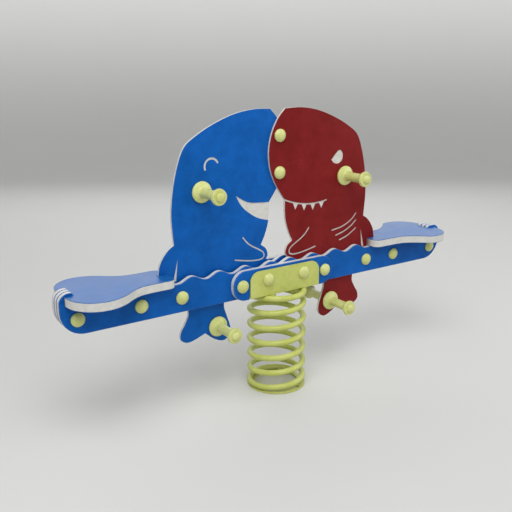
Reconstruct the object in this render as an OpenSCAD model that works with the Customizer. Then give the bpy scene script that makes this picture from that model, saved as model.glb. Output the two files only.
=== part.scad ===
// Two-seat spring rocker: a whale and a shark facing each other on a laminated beam.
// Millimetres. X runs along the beam, Y across it, Z up. The origin is on the ground, on the spring's axis.
// The whale sits on the -X side and the shark on the +X side.

/* [Beam] */
// Overall length of the beam, over the rounded ends
beam_length = 1542; // [1480:2:1640]
// Height of the beam's lower edge above the ground
beam_underside = 351.5; // [350:0.5:353]
// Height of the beam's top edge under the seats
beam_top = 445; // [443:1:448]
// Thickness of the beam boards, the end cores and the splice plates
board_thickness = 19; // [19:0.5:20]
// Distance between two crests of the wavy top edge
wave_length = 100; // [80:5:120]
// Height from trough to crest of the wavy top edge
wave_height = 17; // [8:1:20]

/* [Figures] */
// Thickness of the whale board and the shark board
figure_thickness = 9.5; // [9:0.5:9.5]
// How far both figures and the waves under them are set towards -X
figure_offset = 4.5; // [0:0.5:6]
// Depth of the engraved lines
groove_depth = 1.8; // [1:0.1:2.4]
// Width of the long engraved lines
groove_width = 5; // [3:0.5:7]

/* [Seats] */
// Thickness of each seat board
seat_thickness = 28; // [22:1:30]
// Widest part of each seat
seat_width = 264; // [240:2:280]
// Distance from the middle of the beam to the inner end of the left seat
left_seat_x = 417; // [410:1:422]
// Distance from the middle of the beam to the inner end of the right seat
right_seat_x = 402; // [398:1:410]

/* [Grips and pegs] */
// Distance of the hand grips from the middle of the beam
hand_grip_x = 287; // [270:1:300]
// Height of the hand grips above the ground
hand_grip_z = 716; // [700:1:740]
// Distance of the foot pegs from the middle of the beam
foot_peg_x = 236; // [232:1:246]
// Height of the foot pegs above the ground
foot_peg_z = 265; // [258:1:270]
// Length of a grip from the board to its end flange
grip_length = 112; // [100:1:118]

/* [Spring] */
// Outer diameter of the coil spring
spring_od = 205; // [203:1:207]
// Diameter of the spring wire
wire_d = 20; // [18:0.5:21]
// Rise of one free turn of the spring
spring_pitch = 54; // [48:1:60]
// Direction in which the lower cut end of the wire points away, from +X towards +Y
wire_start = 10; // [0:5:30]

/* [Steelwork] */
// Height of the saddle's underside above the ground
saddle_underside = 353; // [351:0.5:355]
// Length of the saddle along the beam
saddle_length = 286; // [270:2:300]
// Height of the saddle's side plates
saddle_height = 89; // [80:1:92]
// Thickness of the saddle's side plates
saddle_plate = 6; // [4:0.5:8]
// Thickness of the base ring
ring_thickness = 6; // [5:0.5:8]

/* [Fasteners] */
// Diameter of the bolts through the boards
bolt_d = 10; // [8:1:10]
// Diameter of the dome caps over the bolts
cap_d = 42; // [38:1:44]
// Height of a dome cap above the board
cap_height = 15; // [14:0.5:17]

/* [Hidden] */
$fn = 64;
half_beam = beam_length / 2;
board_gap = 0.05;
// Layers across the beam: distance of each board's outer face from the middle plane
core_half = board_thickness / 2;
beam_half = core_half + board_thickness;
splice_half = beam_half + board_thickness;
saddle_half = splice_half + saddle_plate;
// Beam outline
end_corner_r = 75;
stop_height = 36;
stop_r = 30;
stop_inner_r = 8;
left_stop_x = half_beam - 44;
right_stop_x = half_beam - 60;
wave_middle = beam_top + 6.5;
first_crest = 40;
last_trough = first_crest + 3.5 * wave_length;
wave_step = 5;
figure_end_x = 443;
core_start_x = figure_end_x + figure_offset + 3;
core_top = beam_top - 9;
// Web of the saddle, and the seat that the boards and plates have for it
web_thickness = 8;
web_top = saddle_underside + web_thickness;
web_seat_half = saddle_length / 2 + 1;
saddle_corner_r = 35;
splice_half_length = 205;
splice_z = [350, 450.5];
splice_r = 45;
// Seats
seat_bottom = beam_top;
seat_neck = 63;
seat_corner_r = 25;
left_seat_tip = half_beam - 14;
right_seat_tip = half_beam - 30;
slot_end_gap = 4;
slot_clearance = 0.5;
notch_gap = 2;
notch_width = 2 * beam_half + 1;
// Seat angles
angle_leg = 20;
angle_plate = 3;
angle_x = [628, 706];
angle_bolt_x = [652, 682];
angle_bolt_z = beam_top - 12;
angle_bolt_d = 8;
seat_screw_x = [638, 667, 696];
seat_screw_y = beam_half + 12;
seat_screw_d = 6;
seat_screw_length = 18;
// Bolt places along the beam: [distance from the middle, height, half of the stack that is clamped]
board_bolts_at = [[384, 399, beam_half], [522, 399, beam_half], [720, 399, beam_half]];
splice_bolts_at = [[171.5, 400, splice_half]];
saddle_bolts_at = [[73, 408.5, saddle_half]];
beam_bolts_at = concat(board_bolts_at, splice_bolts_at, saddle_bolts_at);
head_bolts_z = [751, 872];
bolt_hole_d = bolt_d + 1;
// Cap base, washer, bolt head and low nut, stacked outwards from the board
base_thickness = 3;
base_rim = 1.8;
washer_thickness = 1.5;
washer_d = 20;
head_height = 5;
head_d = 17.5;
nut_height = 5;
nut_flats = 17;
thread_over = 0.5;
cap_wall = 2;
cap_skirt = 2;
// Grips
rod_d = 12;
grip_bore_d = rod_d + 0.4;
grip_socket_d = 25;
grip_socket_depth = 14;
rod_nut_flats = 19;
rod_nut_height = 10;
plug_d = 28;
plug_height = 8;
plug_stem = 3;
// Spring
coil_r = (spring_od - wire_d) / 2;
wire_r = wire_d / 2;
wire_clearance = 0.2;
coil_low = ring_thickness + wire_r + wire_clearance;
coil_high = saddle_underside - wire_r - wire_clearance;
rise_from = 192;
rise_turn = 360 * (coil_high - coil_low) / spring_pitch;
rise_ease = 20;
wire_end = rise_from + rise_turn + 215;
wire_sides = 12;
coil_steps = ceil((wire_end - wire_start) / 10);
// Base ring and the holes that hold it to the ground
ring_inner_r = 79;
ring_outer_r = 101.5;
ground_hole_ring_r = 90;
ground_hole_r = 5.5;
ground_sink_r = 9;
ground_sink_depth = 3.5;
ground_hole_angles = [20, 110, 200, 290];
weld_angles = [18, 87, 156];
weld_span = 30;
// Clamps that hold the top turn of the coil under the saddle
clamp_angles = [219, 340, 20];
clamp_r = [52, 90.5];
clamp_width = 24;
clamp_groove_gap = 0.7;
clamp_bolt_r = 64;
clamp_bolt_d = 8;
clamp_bolt_head_d = 14;
clamp_bolt_head = 4.5;
clamp_bottom = coil_high - wire_r + 0.5;

blue = "royalblue";
deep_blue = "steelblue";
red = "firebrick";
lime = "khaki";
steel = "silver";

// ---- Curves ----

// Points of an arc from angle a0 to a1, both ends included
function arc_points(centre, r, a0, a1, n = 10) =
    [for (i = [0:n]) let (a = a0 + (a1 - a0) * i / n) centre + r * [cos(a), sin(a)]];

// A point a fraction t of the way from b to c, on the smooth curve through a, b, c and d
function between(a, b, c, d, t) =
    b + 0.5 * t * (c - a + t * (2 * a - 5 * b + 4 * c - d + t * (3 * (b - c) + d - a)));

// A smooth curve through the points p; its last point is left to the run that follows
function run(p, n = 5) =
    let (k = len(p) - 1)
    [for (i = [0:k - 1], j = [0:n - 1])
        between(i > 0 ? p[i - 1] : 2 * p[0] - p[1], p[i], p[i + 1],
                i < k - 1 ? p[i + 2] : 2 * p[k] - p[k - 1], j / n)];

// The same curve with its last point
function curve(p, n = 5) = concat(run(p, n), [p[len(p) - 1]]);

// Direction of a path at its point i, as an angle
function heading(p, i) =
    let (d = p[min(i + 1, len(p) - 1)] - p[max(i - 1, 0)]) atan2(d.y, d.x);

// A point r to the left of a path's point i, or to its right where r is negative
function beside(p, i, r) = p[i] + r * [-sin(heading(p, i)), cos(heading(p, i))];

// A path widened to a band with round ends
module band(p, w) {
    n = len(p) - 1;
    r = w / 2;
    polygon(concat(
        [for (i = [1:n - 1]) beside(p, i, r)],
        arc_points(p[n], r, heading(p, n) + 90, heading(p, n) - 90, 6),
        [for (i = [n - 1:-1:1]) beside(p, i, -r)],
        arc_points(p[0], r, heading(p, 0) - 90, heading(p, 0) - 270, 6)
    ));
}

// Stands a flat outline (x, z) up between the planes y0 and y1
module upright(y0, y1) {
    translate([0, y1, 0]) rotate([90, 0, 0]) linear_extrude(y1 - y0) children();
}

// Repeats children on both ends of the beam
module both_ends() {
    children();
    mirror([1, 0, 0]) children();
}

// Places an object, drawn along +Z from the board, on the face at y; side is -1 for the front
module on_face(x, y, z, side) {
    translate([x, y, z]) rotate([-90 * side, 0, 0]) children();
}

// A rod or a hole along Y
module along_y(x, z, y0, y1, d) {
    translate([x, y0, z]) rotate([-90, 0, 0]) cylinder(d = d, h = y1 - y0);
}

// ---- Beam ----

// Height of the wavy edge at x: even about the middle of the figures, and level past the last trough
function wave_z(x) = let (reach = min(abs(x + figure_offset), last_trough))
    wave_middle + wave_height / 2 * cos(360 * (reach - first_crest) / wave_length);

// One end of the beam's outline, from the lower edge to the inner face of the end stop at stop_x
function end_points(stop_x) = concat(
    arc_points([half_beam - end_corner_r, beam_underside + end_corner_r], end_corner_r, -90, 0),
    arc_points([half_beam - stop_r, beam_top + stop_height - stop_r], stop_r, 0, 90),
    arc_points([stop_x + stop_inner_r, beam_top + stop_height - stop_inner_r], stop_inner_r, 90, 180, 5),
    [[stop_x, beam_top]]
);

module beam_outline() {
    left = end_points(left_stop_x);
    polygon(concat(
        end_points(right_stop_x), [[right_seat_x, beam_top]],
        [for (x = [right_seat_x - 2:-wave_step:2 - left_seat_x]) [x, wave_z(x)]],
        [[-left_seat_x, beam_top]], [for (i = [len(left) - 1:-1:0]) [-left[i].x, left[i].y]]
    ));
}

// The seat cut in the lower edge for the saddle's web
module web_seat() {
    translate([-web_seat_half, 0]) square([2 * web_seat_half, web_top + board_gap]);
}

// Holes for the bolts through the beam, from the list of places
module beam_holes(places) {
    for (p = places) both_ends() along_y(p[0], p[1], -saddle_half - 1, saddle_half + 1, bolt_hole_d);
}

module angle_bolt_holes() {
    reach = beam_half + angle_plate + 1;
    for (x = angle_bolt_x) both_ends() along_y(x, angle_bolt_z, -reach, reach, angle_bolt_d + 0.6);
}

module beam_board(y0, y1) {
    color(blue) difference() {
        upright(y0, y1) difference() {
            beam_outline();
            web_seat();
        }
        beam_holes(beam_bolts_at);
        angle_bolt_holes();
    }
}

module front_beam_board() { beam_board(-beam_half, -core_half); }

module rear_beam_board() { beam_board(core_half, beam_half); }

// The middle layer of one end, from x0 outwards, which the seat and the end stop are built on
module end_core(x0) {
    color(blue) difference() {
        upright(-core_half, core_half) intersection() {
            beam_outline();
            translate([x0, 0]) square([half_beam, 2 * beam_top]);
        }
        beam_holes(board_bolts_at);
        angle_bolt_holes();
    }
}

module left_end_core() { end_core(-core_start_x - half_beam); }

module right_end_core() { end_core(core_start_x); }

// Fills the half of the core that a figure board leaves open, drawn for the +X side
module packing_board(y0, y1) {
    difference() {
        upright(y0, y1) translate([30, web_top + 1])
            square([figure_end_x - 30, core_top - web_top - 1]);
        beam_holes(beam_bolts_at);
    }
}

module whale_packing_board() { color(deep_blue) mirror([1, 0, 0]) packing_board(-core_half, 0); }

module shark_packing_board() { color(deep_blue) packing_board(0, core_half); }

module splice_plate(y0, y1) {
    color(blue) difference() {
        upright(y0, y1) difference() {
            union() {
                for (x = [-1, 1], z = splice_z) translate(
                    [x * (splice_half_length - splice_r), z + (z == splice_z[0] ? 1 : -1) * splice_r])
                    circle(r = splice_r);
                translate([-splice_half_length, splice_z[0] + splice_r])
                    square([2 * splice_half_length, splice_z[1] - splice_z[0] - 2 * splice_r]);
                translate([splice_r - splice_half_length, splice_z[0]])
                    square([2 * (splice_half_length - splice_r), splice_z[1] - splice_z[0]]);
            }
            web_seat();
        }
        beam_holes(concat(splice_bolts_at, saddle_bolts_at));
    }
}

module front_splice_plate() { splice_plate(-splice_half, -beam_half); }

module rear_splice_plate() { splice_plate(beam_half, splice_half); }

// ---- Figures, drawn for the +X side: x is the distance from the middle towards the figure's own seat ----

nose = run([[29, 657], [12, 680], [-12, 718], [-30, 762], [-37, 810], [-33, 852], [-20, 893], [2, 931],
            [27, 957]]);
back = run([[27, 957], [92, 958], [165, 946], [240, 919], [302, 887], [343, 855], [367, 800],
            [384, 730], [392, 650], [386, 560]]);
hip = run([[386, 560], [405, 548], [423, 528], [437, 502], [figure_end_x, 470]]);
fluke_outer = run([[343, 345], [342, 322], [355, 296], [371, 270], [372, 246], [352, 232], [325, 234],
                   [282, 249]]);
fluke_inner = run([[282, 249], [248, 222], [213, 209], [189, 224], [186, 254], [200, 297], [208, 322],
                   [209, 345]]);
flipper = run([[42, 462], [34, 476], [41, 498], [62, 515]]);
throat = run([[62, 515], [46, 547], [35, 580], [30, 610], [29, 657]]);
keel_z = web_top + 1;
figure_points = concat(
    nose, back, hip,
    [[figure_end_x, beam_top - 20], [figure_end_x, keel_z], [343, keel_z]], fluke_outer, fluke_inner,
    [[209, keel_z], [42, keel_z]], flipper, throat
);

// Engraved lines that both figures share: the edge of the fin and the crease over the hip
module shared_engraving() {
    band(curve([[133, 549], [117, 530], [97, 515], [70, 500], [52, 487], [50, 472], [64, 465],
                [90, 465], [125, 470], [164, 478]]), groove_width);
    polygon([[374, 519], [393, beam_top], [382, beam_top]]);
}

// Laughing mouth, which runs out through the edge of the board, and closed eye
module whale_engraving() {
    polygon(concat([[15, 656]], run([[30, 656], [70, 658], [115, 665], [160, 690]]),
                   curve([[160, 690], [142, 659], [118, 635], [76, 608], [30, 594]]), [[15, 592]]));
    band(arc_points([248, 792], 24.5, -20, 155, 14), groove_width + 2);
    shared_engraving();
}

// Height of the shark's lip line, a shallow parabola
function lip_z(x) = 632 + 25 * pow((x - 150) / 121, 2);

// Straight mouth with four teeth, a drop-shaped eye and three gills
module shark_engraving() {
    band([for (x = [20:9:209]) [x, lip_z(x)]], groove_width);
    for (x = [73:38:187]) polygon([[x - 12, lip_z(x - 12)], [x + 12, lip_z(x + 12)], [x, lip_z(x) - 24]]);
    polygon(run([[226, 776], [240, 763], [261, 761], [276, 774], [277, 795], [264, 807], [250, 800],
                 [226, 776]]));
    for (gill = [[[239, 525], [285, 533], [325, 551], [350, 574]],
                 [[257, 504], [294, 514], [327, 530], [350, 548]],
                 [[275, 485], [306, 494], [330, 506], [350, 519]]])
        band(curve(gill), groove_width);
    shared_engraving();
}

// A figure between the planes y0 and y1, set the given distance outwards; its engraving is the child
module figure_board(y0, y1, outwards) {
    difference() {
        upright(y0, y1) translate([outwards, 0]) polygon(figure_points);
        upright(y0 - 1, y0 + groove_depth) translate([outwards, 0]) children();
        upright(y1 - groove_depth, y1 + 1) translate([outwards, 0]) children();
        beam_holes(beam_bolts_at);
        for (z = head_bolts_z) along_y(0, z, y0 - 1, y1 + 1, bolt_hole_d);
        for (place = [hand, foot]) along_y(place.x + outwards, place.y, y0 - 1, y1 + 1, rod_d + 0.5);
    }
}

module whale_board() {
    color(blue) mirror([1, 0, 0]) figure_board(0, figure_thickness, figure_offset) whale_engraving();
}

module shark_board() { color(red) figure_board(-figure_thickness, 0, -figure_offset) shark_engraving(); }

// ---- Seats ----

// Outline of a seat from inner_x to its tip: a narrow neck that swells to a rounded end
module seat_outline(inner_x, tip) {
    half = concat(
        arc_points([inner_x + seat_corner_r, seat_neck - seat_corner_r], seat_corner_r, 180, 90, 8),
        curve([[500, seat_neck], [536, 68], [570, 86], [602, 111], [tip - 120, seat_width / 2 - 4],
               [tip - 84, seat_width / 2], [tip - 50, 122], [tip - 23, 99], [tip - 6, 64], [tip, 0]]));
    polygon(concat(half, [for (i = [len(half) - 2:-1:0]) [half[i].x, -half[i].y]]));
}

// A seat for the +X end, notched round the end stop at stop_x; the slot that ends at slot_x takes the hip
// of the figure between the planes y0 and y1
module seat(inner_x, tip, stop_x, slot_x, y0, y1) {
    difference() {
        translate([0, 0, seat_bottom + board_gap]) linear_extrude(seat_thickness - board_gap) difference() {
            seat_outline(inner_x, tip);
            translate([stop_x - notch_gap, -notch_width / 2]) square([half_beam, notch_width]);
            translate([0, y0 - slot_clearance]) square([slot_x, y1 - y0 + 2 * slot_clearance]);
        }
        for (x = seat_screw_x, s = [-1, 1])
            translate([x, s * seat_screw_y, seat_bottom - 1])
                cylinder(d = seat_screw_d, h = seat_screw_length - 1);
    }
}

module left_seat() {
    slot_x = figure_end_x + figure_offset + slot_end_gap;
    color(blue) mirror([1, 0, 0]) seat(left_seat_x, left_seat_tip, left_stop_x, slot_x, 0, figure_thickness);
}

module right_seat() {
    slot_x = figure_end_x - figure_offset + slot_end_gap;
    color(blue) seat(right_seat_x, right_seat_tip, right_stop_x, slot_x, -figure_thickness, 0);
}

// Two steel angles that join a seat's underside to the beam, one on each side
module seat_angles() {
    for (s = [-1, 1]) difference() {
        scale([1, s, 1]) union() {
            translate([angle_x[0], beam_half + board_gap, seat_bottom - angle_leg])
                cube([angle_x[1] - angle_x[0], angle_plate, angle_leg]);
            translate([angle_x[0], beam_half + board_gap, seat_bottom - angle_plate])
                cube([angle_x[1] - angle_x[0], angle_leg, angle_plate]);
        }
        angle_bolt_holes();
        for (x = seat_screw_x) translate([x, s * seat_screw_y, seat_bottom - angle_plate - 1])
            cylinder(d = seat_screw_d + 0.4, h = angle_plate + 2);
    }
}

module right_seat_angles() { color(steel) seat_angles(); }

module left_seat_angles() { color(steel) mirror([1, 0, 0]) seat_angles(); }

module seat_angle_bolts() {
    face = beam_half + angle_plate + 2 * board_gap;
    color(steel) for (x = angle_bolt_x) both_ends() {
        along_y(x, angle_bolt_z, -face, face + 6.5, angle_bolt_d);
        on_face(x, -face, angle_bolt_z, -1) button_head(angle_bolt_d * 1.75, 4.5);
    }
}

module seat_angle_nuts() {
    face = beam_half + angle_plate + 2 * board_gap;
    color(steel) for (x = angle_bolt_x) both_ends()
        on_face(x, face, angle_bolt_z, 1) hex_nut(13, 6, angle_bolt_d);
}

module seat_screws() {
    color(steel) for (x = seat_screw_x, s = [-1, 1]) both_ends()
        translate([x, s * seat_screw_y, seat_bottom - angle_plate]) {
            cylinder(d = seat_screw_d - 0.1, h = angle_plate + seat_screw_length - 4);
            mirror([0, 0, 1]) button_head(11, 3.5);
        }
}

// ---- Fasteners, drawn along +Z from the face they sit on ----

// A low domed head with a hexagon socket
module button_head(d, h) {
    r = (d * d / 4 + h * h) / (2 * h);
    difference() {
        intersection() {
            translate([0, 0, h - r]) sphere(r = r);
            cylinder(d = d, h = h);
        }
        translate([0, 0, h * 0.45]) cylinder(d = d * 0.42, h = h, $fn = 6);
    }
}

module hex_nut(flats, h, bore) {
    difference() {
        cylinder(d = flats / cos(30), h = h, $fn = 6);
        translate([0, 0, -1]) cylinder(d = bore + 0.1, h = h + 2);
    }
}

// Bolts on both ends of the beam, as [x, z, y of the front face, y of the rear face]
function bolts_at(places) = [for (p = places, s = [-1, 1]) [s * p[0], p[1], -p[2], p[2]]];

bolts_at_heads = [for (z = head_bolts_z) [0, z, -figure_thickness, figure_thickness]];
all_bolts = concat(bolts_at(beam_bolts_at), bolts_at_heads);
washer_face = base_thickness;
head_face = base_thickness + washer_thickness;

module bolts(list) {
    color(steel) for (b = list) {
        along_y(b[0], b[1], b[2] - head_face, b[3] + head_face + nut_height + thread_over, bolt_d);
        on_face(b[0], b[2] - head_face, b[1], -1) button_head(head_d, head_height);
    }
}

module board_bolts() { bolts(bolts_at(board_bolts_at)); }

module splice_bolts() { bolts(bolts_at(splice_bolts_at)); }

module saddle_bolts() { bolts(bolts_at(saddle_bolts_at)); }

module head_bolts() { bolts(bolts_at_heads); }

module bolt_nuts() {
    color(steel) for (b = all_bolts)
        on_face(b[0], b[3] + head_face, b[1], 1) hex_nut(nut_flats, nut_height, bolt_d);
}

module bolt_washers() {
    color(steel) for (b = all_bolts, side = [-1, 1])
        on_face(b[0], (side < 0 ? b[2] : b[3]) + side * washer_face, b[1], side) difference() {
            cylinder(d = washer_d, h = washer_thickness);
            translate([0, 0, -1]) cylinder(d = bolt_d + 0.4, h = washer_thickness + 2);
        }
}

// The half of a cap that the bolt clamps to the board, with the rim that the dome snaps over
module cap_base() {
    rim_d = cap_d - 5.4;
    difference() {
        union() {
            cylinder(d = cap_d, h = base_thickness);
            cylinder(d = rim_d, h = base_thickness + base_rim);
        }
        translate([0, 0, -1]) cylinder(d = bolt_d + 0.4, h = base_thickness + 2);
        translate([0, 0, base_thickness]) cylinder(d = rim_d - 4, h = base_rim + 1);
    }
}

// The snap-on dome, an even shell over a short skirt
module dome_cap() {
    rise = cap_height - base_thickness - cap_skirt;
    ball = (cap_d * cap_d / 4 + rise * rise) / (2 * rise);
    top = base_thickness + cap_skirt;
    inner = cap_d / 2 - 2.5;
    shell = ball - cap_wall;
    outer_lip = asin(cap_d / 2 / ball);
    inner_lip = asin(inner / shell);
    centre_z = cap_height - ball;
    rotate_extrude() polygon(concat(
        [[inner, base_thickness + 0.05], [cap_d / 2, base_thickness + 0.05], [cap_d / 2, top]],
        [for (i = [1:10]) let (a = outer_lip * (1 - i / 10)) [ball * sin(a), centre_z + ball * cos(a)]],
        [for (i = [0:9]) let (a = inner_lip * i / 9) [shell * sin(a), centre_z + shell * cos(a)]]
    ));
}

module front_cap_bases() { color(lime) for (b = all_bolts) on_face(b[0], b[2], b[1], -1) cap_base(); }

module rear_cap_bases() { color(lime) for (b = all_bolts) on_face(b[0], b[3], b[1], 1) cap_base(); }

module front_dome_caps() { color(lime) for (b = all_bolts) on_face(b[0], b[2], b[1], -1) dome_cap(); }

module rear_dome_caps() { color(lime) for (b = all_bolts) on_face(b[0], b[3], b[1], 1) dome_cap(); }

// ---- Grips and pegs ----

// Radius of the moulded grip at each height above the board
grip_profile = curve([[32, 0], [34, 4], [32.5, 9], [25, 13], [18, 17], [16, 26], [15.5, 48],
                      [15.5, grip_length - 44], [16.2, grip_length - 26], [20, grip_length - 17],
                      [24.8, grip_length - 12], [26, grip_length - 7], [24, grip_length]], 4);

module grip() {
    rotate_extrude() polygon(concat(
        [[grip_bore_d / 2, 0]], grip_profile,
        [[grip_socket_d / 2, grip_length], [grip_socket_d / 2, grip_length - grip_socket_depth],
         [grip_bore_d / 2, grip_length - grip_socket_depth]]
    ));
}

// A rounded plug that closes a grip's end over the rod's nut
module end_plug() {
    r = plug_d / 2;
    rotate_extrude() polygon(concat(
        [[0, -plug_stem], [grip_socket_d / 2 - 0.1, -plug_stem], [grip_socket_d / 2 - 0.1, 0.05], [r, 0.05],
         [r, 2]],
        [for (i = [1:8]) [r * cos(90 * i / 8), 2 + (plug_height - 2) * sin(90 * i / 8)]]
    ));
}

// Both faces of a figure: the whale is behind the middle plane and the shark in front of it
whale_faces = [0, figure_thickness];
shark_faces = [-figure_thickness, 0];
hand = [hand_grip_x, hand_grip_z];
foot = [foot_peg_x, foot_peg_z];

// Where a grip is along the beam, on the whale's end, -1, or the shark's, 1
function grip_x(place, end) = end * place.x - figure_offset;

// Every grip, as [x, z, y of the board's face, side]
grip_places = [for (p = [hand, foot], f = [[-1, whale_faces], [1, shark_faces]], i = [0, 1])
    [grip_x(p, f[0]), p.y, f[1][i], 2 * i - 1]];

module grip_on(place, faces, end, side) {
    color(lime) on_face(grip_x(place, end), faces[side < 0 ? 0 : 1], place.y, side) grip();
}

module whale_front_hand_grip() { grip_on(hand, whale_faces, -1, -1); }
module whale_rear_hand_grip() { grip_on(hand, whale_faces, -1, 1); }
module shark_front_hand_grip() { grip_on(hand, shark_faces, 1, -1); }
module shark_rear_hand_grip() { grip_on(hand, shark_faces, 1, 1); }
module whale_front_foot_peg() { grip_on(foot, whale_faces, -1, -1); }
module whale_rear_foot_peg() { grip_on(foot, whale_faces, -1, 1); }
module shark_front_foot_peg() { grip_on(foot, shark_faces, 1, -1); }
module shark_rear_foot_peg() { grip_on(foot, shark_faces, 1, 1); }

// A threaded rod that runs through the board and both of its grips
module grip_rod(place, faces, end) {
    reach = grip_length - grip_socket_depth + rod_nut_height;
    color(steel) along_y(grip_x(place, end), place.y, faces[0] - reach, faces[1] + reach, rod_d);
}

module whale_hand_rod() { grip_rod(hand, whale_faces, -1); }
module shark_hand_rod() { grip_rod(hand, shark_faces, 1); }
module whale_foot_rod() { grip_rod(foot, whale_faces, -1); }
module shark_foot_rod() { grip_rod(foot, shark_faces, 1); }

module rod_nuts() {
    color(steel) for (g = grip_places)
        on_face(g[0], g[2] + g[3] * (grip_length - grip_socket_depth), g[1], g[3])
            hex_nut(rod_nut_flats, rod_nut_height, rod_d);
}

module grip_end_plugs() {
    color(lime) for (g = grip_places) on_face(g[0], g[2] + g[3] * grip_length, g[1], g[3]) end_plug();
}

// ---- Spring and steelwork ----

// Turns climbed after u degrees, with a soft start
function eased(u) =
    u < -rise_ease ? 0 : u > rise_ease ? u : (u + rise_ease) * (u + rise_ease) / (4 * rise_ease);

// Height of the wire's middle at angle a
function coil_z(a) = coil_low
    + spring_pitch / 360 * (eased(a - rise_from) - eased(a - rise_from - rise_turn));

// One ring of points around the wire at angle a
function wire_ring(a) =
    let (climb = (coil_z(a + 1) - coil_z(a - 1)) / (2 * PI * coil_r / 180), tilt = atan(climb))
    [for (i = [0:wire_sides - 1]) let (s = 360 * i / wire_sides, out = coil_r + wire_r * cos(s),
        up = wire_r * sin(s) * cos(tilt), back = wire_r * sin(s) * sin(tilt))
        [out * cos(a) + back * sin(a), out * sin(a) - back * cos(a), coil_z(a) + up]];

module coil_spring() {
    n = wire_sides;
    rings = [for (k = [0:coil_steps]) wire_ring(wire_start + (wire_end - wire_start) * k / coil_steps)];
    sides = [for (k = [0:coil_steps - 1], i = [0:n - 1]) let (j = (i + 1) % n)
        each [[k * n + i, k * n + n + i, k * n + n + j], [k * n + i, k * n + n + j, k * n + j]]];
    first = [for (i = [0:n - 1]) i];
    last = [for (i = [n - 1:-1:0]) coil_steps * n + i];
    color(lime) polyhedron([for (r = rings) each r], concat(sides, [first, last]), convexity = 10);
}

module base_ring() {
    color(lime) difference() {
        cylinder(r = ring_outer_r, h = ring_thickness, $fn = 96);
        translate([0, 0, -1]) cylinder(r = ring_inner_r, h = ring_thickness + 2, $fn = 96);
        for (a = ground_hole_angles) rotate(a) translate([ground_hole_ring_r, 0, 0]) {
            translate([0, 0, -1]) cylinder(r = ground_hole_r, h = ring_thickness + 2);
            translate([0, 0, ring_thickness - ground_sink_depth])
                cylinder(r1 = ground_hole_r, r2 = ground_sink_r, h = ground_sink_depth + 0.01);
        }
    }
}

// Short welds between the ring and the inside of the lowest turn
module base_welds() {
    color(lime) for (a = weld_angles) rotate(a) rotate_extrude(angle = weld_span) difference() {
        polygon([[coil_r - 11, ring_thickness], [coil_r - 3, ring_thickness],
                 [coil_r - 9, ring_thickness + 7]]);
        translate([coil_r, coil_low]) circle(r = wire_r + 0.3);
    }
}

// Two side plates welded to a web, with the threaded holes for the clamp bolts
module saddle_bracket() {
    z0 = saddle_underside;
    z1 = saddle_underside + saddle_height;
    x0 = saddle_length / 2;
    color(lime) difference() {
        union() {
            for (y = [-saddle_half, splice_half]) upright(y, y + saddle_plate) {
                translate([-x0, z0]) square([saddle_length, saddle_height - saddle_corner_r]);
                translate([saddle_corner_r - x0, z0])
                    square([saddle_length - 2 * saddle_corner_r, saddle_height]);
                for (s = [-1, 1]) translate([s * (x0 - saddle_corner_r), z1 - saddle_corner_r])
                    circle(r = saddle_corner_r);
            }
            translate([-x0, -splice_half - 1, z0]) cube([saddle_length, 2 * splice_half + 2, web_thickness]);
        }
        beam_holes(saddle_bolts_at);
        for (a = clamp_angles) rotate(a) translate([clamp_bolt_r, 0, z0 - 1])
            cylinder(d = clamp_bolt_d + 0.1, h = web_thickness + 2);
    }
}

// Blocks inside the top turn, each grooved to the wire and drawn up under the saddle by one bolt
module upper_spring_clamps() {
    color(lime) for (a = clamp_angles) rotate(a) difference() {
        translate([clamp_r[0], -clamp_width / 2, clamp_bottom])
            cube([clamp_r[1] - clamp_r[0], clamp_width, saddle_underside - clamp_bottom - board_gap]);
        translate([0, 0, coil_high]) rotate_extrude($fn = 96)
            translate([coil_r, 0]) circle(r = wire_r + clamp_groove_gap, $fn = 32);
        translate([clamp_bolt_r, 0, clamp_bottom - 1]) cylinder(d = clamp_bolt_d + 0.6, h = 2 * wire_d);
    }
}

module clamp_bolts() {
    color(steel) for (a = clamp_angles) rotate(a) translate([clamp_bolt_r, 0, clamp_bottom - board_gap]) {
        cylinder(d = clamp_bolt_d, h = web_top - clamp_bottom);
        mirror([0, 0, 1]) button_head(clamp_bolt_head_d, clamp_bolt_head);
    }
}

base_ring();
base_welds();
coil_spring();
saddle_bracket();
upper_spring_clamps();
clamp_bolts();
front_beam_board();
rear_beam_board();
left_end_core();
right_end_core();
whale_packing_board();
shark_packing_board();
front_splice_plate();
rear_splice_plate();
whale_board();
shark_board();
left_seat();
right_seat();
left_seat_angles();
right_seat_angles();
seat_angle_bolts();
seat_angle_nuts();
seat_screws();
whale_front_hand_grip();
whale_rear_hand_grip();
shark_front_hand_grip();
shark_rear_hand_grip();
whale_front_foot_peg();
whale_rear_foot_peg();
shark_front_foot_peg();
shark_rear_foot_peg();
whale_hand_rod();
shark_hand_rod();
whale_foot_rod();
shark_foot_rod();
rod_nuts();
grip_end_plugs();
board_bolts();
splice_bolts();
saddle_bolts();
head_bolts();
bolt_nuts();
bolt_washers();
front_cap_bases();
rear_cap_bases();
front_dome_caps();
rear_dome_caps();
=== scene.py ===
"""Looks of a two-seat spring rocker: a whale and a shark on a laminated beam, over one coil spring.

Metres. X runs along the beam, Y across it and Z up. The origin is on the ground, on the spring's axis.
"""

import logging
import math
from dataclasses import dataclass, field
from enum import Enum
from typing import Any, Callable, Sequence

import bmesh
import bpy
from mathutils import Matrix, Vector


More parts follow.
